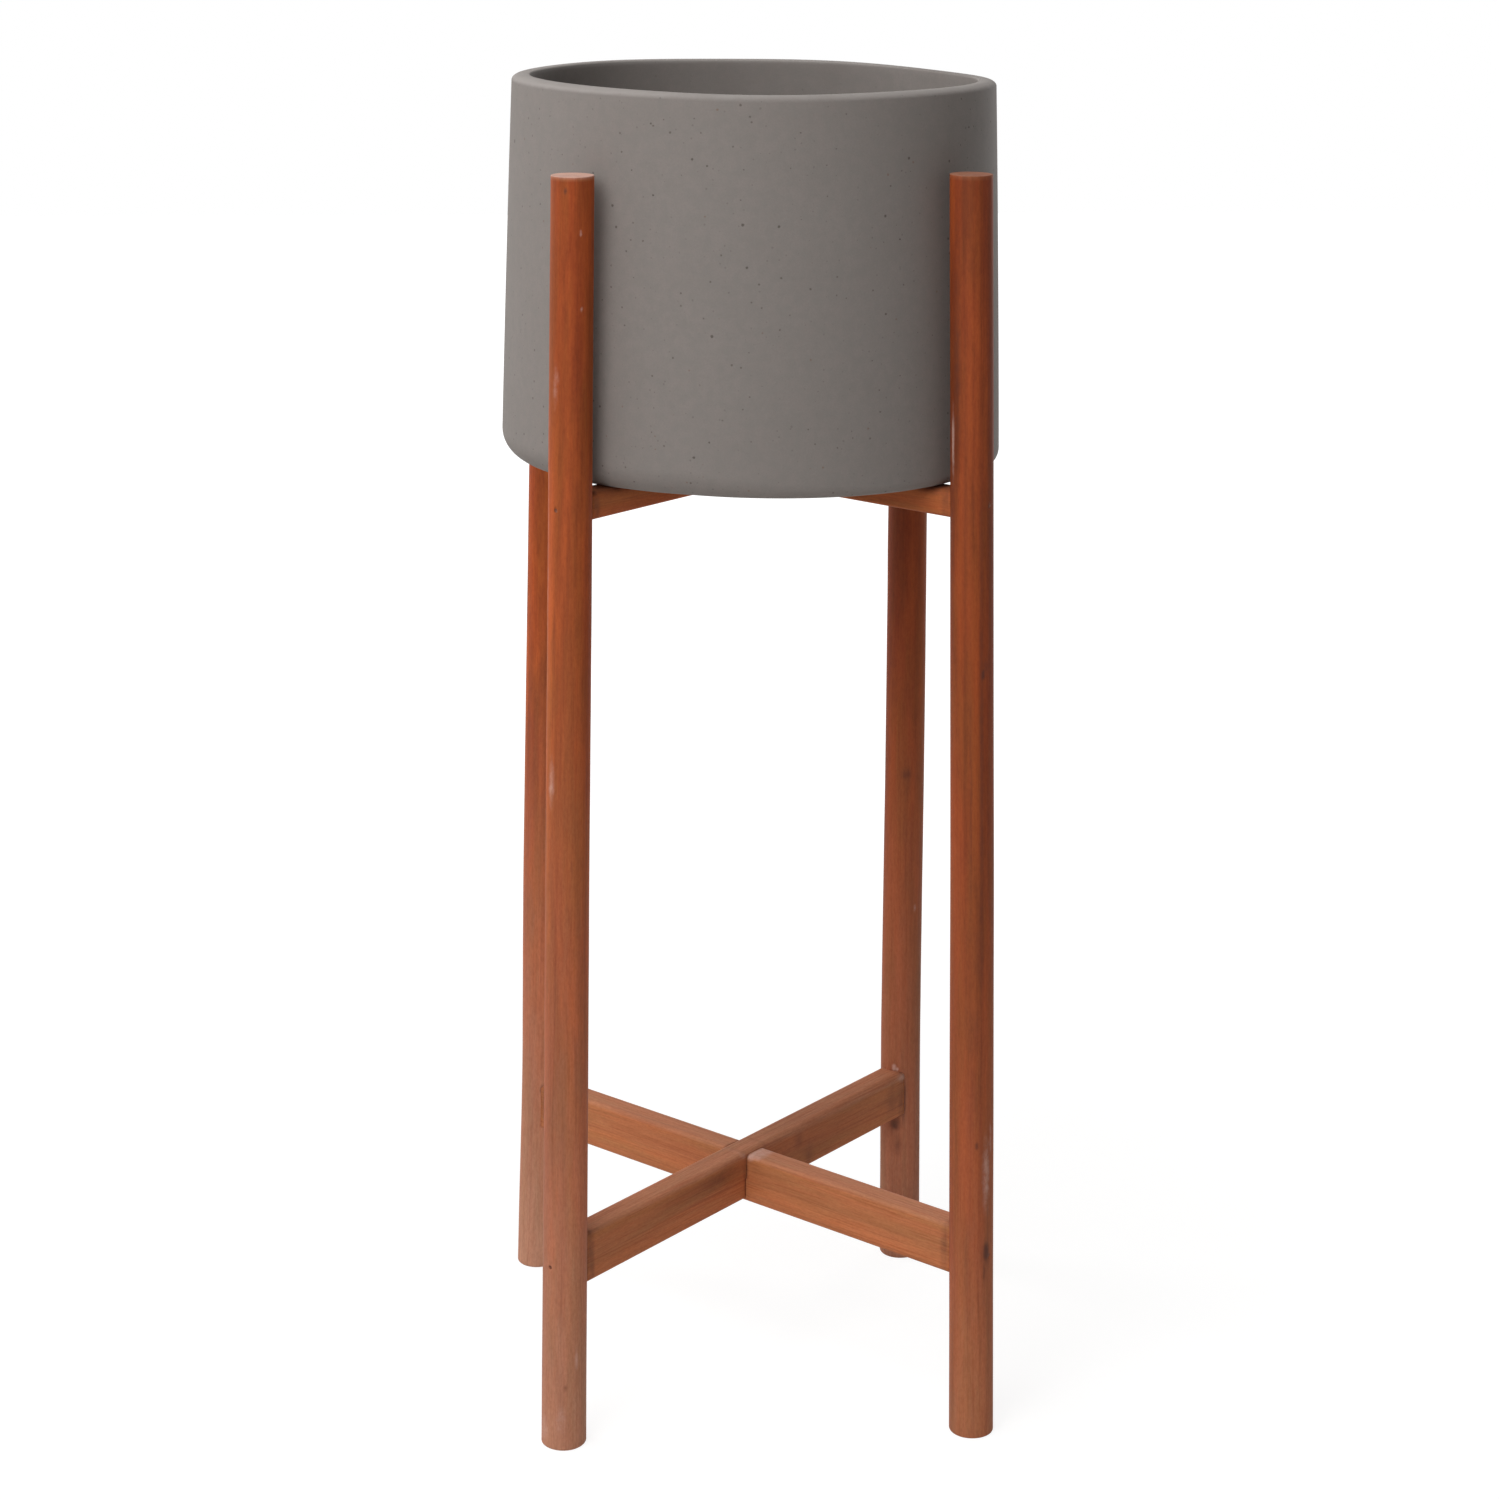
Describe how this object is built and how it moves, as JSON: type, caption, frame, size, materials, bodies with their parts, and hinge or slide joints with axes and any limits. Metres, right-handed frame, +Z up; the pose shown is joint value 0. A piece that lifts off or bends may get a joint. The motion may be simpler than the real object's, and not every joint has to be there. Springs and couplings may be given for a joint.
{
  "type": "planter with stand",
  "caption": "Round speckled ceramic planter pot with a drain plug, held between the leaning round legs of a stained wooden stand with crossed, half-lapped bars.",
  "frame": {"origin": "on the floor, in the middle between the feet", "axes": "+Z up, -Y towards the front, bars along the diagonals"},
  "size_m": [0.2916, 0.2916, 0.7911],
  "materials": {
    "speckled_ceramic": "matte grey with fine dark specks",
    "stained_wood": "reddish brown stain, satin, straight grain",
    "dowel_wood": "bare beech, fluted",
    "nail_steel": "dull dark steel",
    "plug_rubber": "matte black"
  },
  "bodies": {
    "stand": {"leg_front_left": "stained_wood", "leg_front_right": "stained_wood", "leg_back_left": "stained_wood", "leg_back_right": "stained_wood", "upper_bar_over": "stained_wood", "upper_bar_under": "stained_wood", "lower_bar_over": "stained_wood", "lower_bar_under": "stained_wood", "dowels_upper_front_left": "dowel_wood", "dowels_upper_front_right": "dowel_wood", "dowels_upper_back_left": "dowel_wood", "dowels_upper_back_right": "dowel_wood", "dowels_lower_front_left": "dowel_wood", "dowels_lower_front_right": "dowel_wood", "dowels_lower_back_left": "dowel_wood", "dowels_lower_back_right": "dowel_wood", "nails_upper": "nail_steel", "nails_lower": "nail_steel"},
    "pot": {"pot": "speckled_ceramic"},
    "drain_plug": {"drain_plug": "plug_rubber"}
  },
  "joints": [
    {"name": "pot_lift", "type": "slide", "parent": "stand", "child": "pot", "axis": [0, 0, 1], "range_m": [0, 0.2]},
    {"name": "plug_pull", "type": "slide", "parent": "pot", "child": "drain_plug", "axis": [0, 0, 1], "range_m": [0, 0.23]}
  ]
}
